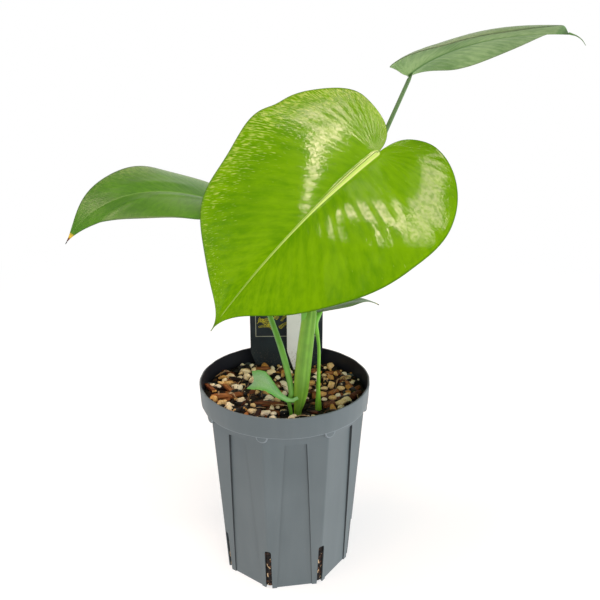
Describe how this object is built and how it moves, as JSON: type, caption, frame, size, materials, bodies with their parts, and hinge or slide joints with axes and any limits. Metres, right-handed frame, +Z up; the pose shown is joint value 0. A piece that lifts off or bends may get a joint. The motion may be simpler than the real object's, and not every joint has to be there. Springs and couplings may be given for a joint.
{
  "type": "potted plant",
  "caption": "Young monstera with whole heart-shaped leaves on long stalks in a tall grey octagonal nursery pot of bark and pumice, with a picture tag and a white plant label",
  "frame": {"origin": "centre of the pot's flat underside, on the surface that it stands on", "axes": "+Z up the pot's axis; -Y out of the flat pot face that turns most nearly to the camera; +X to that face's right"},
  "size_m": [0.3249, 0.187, 0.3764],
  "materials": {
    "pot_plastic": "satin moulded grey polypropylene",
    "bark_and_stone": "loose matt bark, charcoal and cream pumice",
    "stem_green": "smooth waxy green plant tissue",
    "young_leaf": "glossy lime-green young leaf",
    "old_leaf": "glossy dark green leaf",
    "pale_leaf": "thin pale green leaf",
    "black_card": "printed black plastic tag",
    "white_plastic": "plain white plastic label"
  },
  "bodies": {
    "root": {"pot": "pot_plastic", "potting_mix": "bark_and_stone", "main_stem": "stem_green", "large_leaf_stalk": "stem_green", "left_leaf_stalk": "stem_green", "upper_leaf_stalk": "stem_green", "small_leaf_stalk": "stem_green", "large_leaf": "young_leaf", "left_leaf": "old_leaf", "upper_leaf": "old_leaf", "small_leaf": "old_leaf", "basal_leaf": "pale_leaf", "picture_tag": "black_card", "name_label": "white_plastic"}
  },
  "joints": []
}
